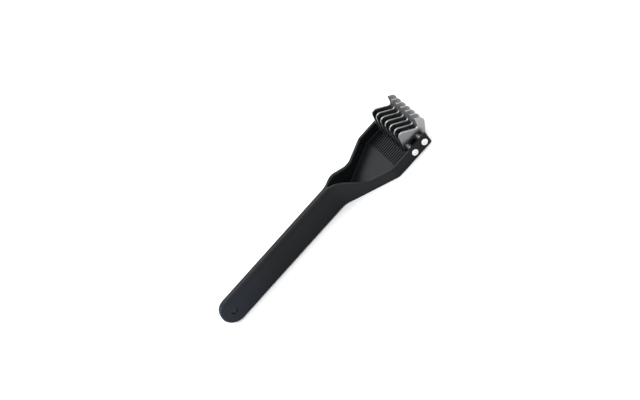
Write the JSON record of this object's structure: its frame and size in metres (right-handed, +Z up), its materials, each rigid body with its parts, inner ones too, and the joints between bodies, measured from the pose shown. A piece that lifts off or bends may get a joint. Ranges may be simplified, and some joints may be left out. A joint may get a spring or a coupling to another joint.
{
  "type": "dematting comb",
  "caption": "Hand tool for cutting out mats in an animal's coat: a row of hooked steel blades riveted in an open tray with a straight bar handle.",
  "frame": {"origin": "middle of the tool's bounding box, on the flat underside of the tray that it stands on", "axes": "+X along the tool from the handle towards the blades, +Y across the row of blades, +Z up from the underside towards the blade tips"},
  "size_m": [0.1974, 0.056, 0.0205],
  "materials": {
    "plastic": "satin charcoal moulding",
    "blade_steel": "satin, ground edges",
    "spacer_steel": "turned",
    "rivet_steel": "polished flat heads"
  },
  "bodies": {
    "root": {"body": "plastic", "blade_1": "blade_steel", "blade_2": "blade_steel", "blade_3": "blade_steel", "blade_4": "blade_steel", "blade_5": "blade_steel", "blade_6": "blade_steel", "blade_7": "blade_steel", "rear_spacer_1": "spacer_steel", "rear_spacer_2": "spacer_steel", "rear_spacer_3": "spacer_steel", "rear_spacer_4": "spacer_steel", "rear_spacer_5": "spacer_steel", "rear_spacer_6": "spacer_steel", "rear_spacer_7": "spacer_steel", "rear_spacer_8": "spacer_steel", "front_spacer_1": "spacer_steel", "front_spacer_2": "spacer_steel", "front_spacer_3": "spacer_steel", "front_spacer_4": "spacer_steel", "front_spacer_5": "spacer_steel", "front_spacer_6": "spacer_steel", "front_spacer_7": "spacer_steel", "front_spacer_8": "spacer_steel", "rear_rivet_tube": "rivet_steel", "front_rivet_tube": "rivet_steel", "rear_rivet_pin": "rivet_steel", "front_rivet_pin": "rivet_steel"}
  },
  "joints": []
}
